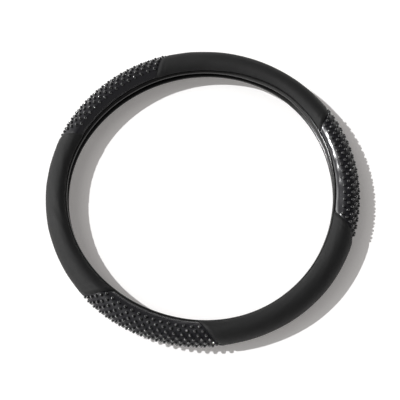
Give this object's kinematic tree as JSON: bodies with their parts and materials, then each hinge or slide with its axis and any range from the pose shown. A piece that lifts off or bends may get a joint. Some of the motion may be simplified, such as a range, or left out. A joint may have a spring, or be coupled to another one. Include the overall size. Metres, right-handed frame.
{
  "type": "steering wheel cover",
  "caption": "Ring-shaped slip-on cover for a car's steering wheel, a rubber channel dressed in smooth leather-like skins and studded grip skins.",
  "frame": {"origin": "On the ring's axis, in the plane of the lowest studs, on which the cover lies.", "axes": "+Z is the ring's axis and points up. +X goes through the middle of grip_panel_1. +Y completes the right-handed frame."},
  "size_m": [0.3836, 0.3838, 0.0373],
  "materials": {
    "rubber": "moulded, slightly shiny on the bead",
    "smooth_skin": "fine grain, satin",
    "studded_skin": "soft moulded vinyl, semi-gloss"
  },
  "bodies": {
    "root": {"inner_ring": "rubber", "smooth_panel_1": "smooth_skin", "smooth_panel_2": "smooth_skin", "smooth_panel_3": "smooth_skin", "grip_panel_1": "studded_skin", "grip_panel_2": "studded_skin", "grip_panel_3": "studded_skin"}
  },
  "joints": []
}
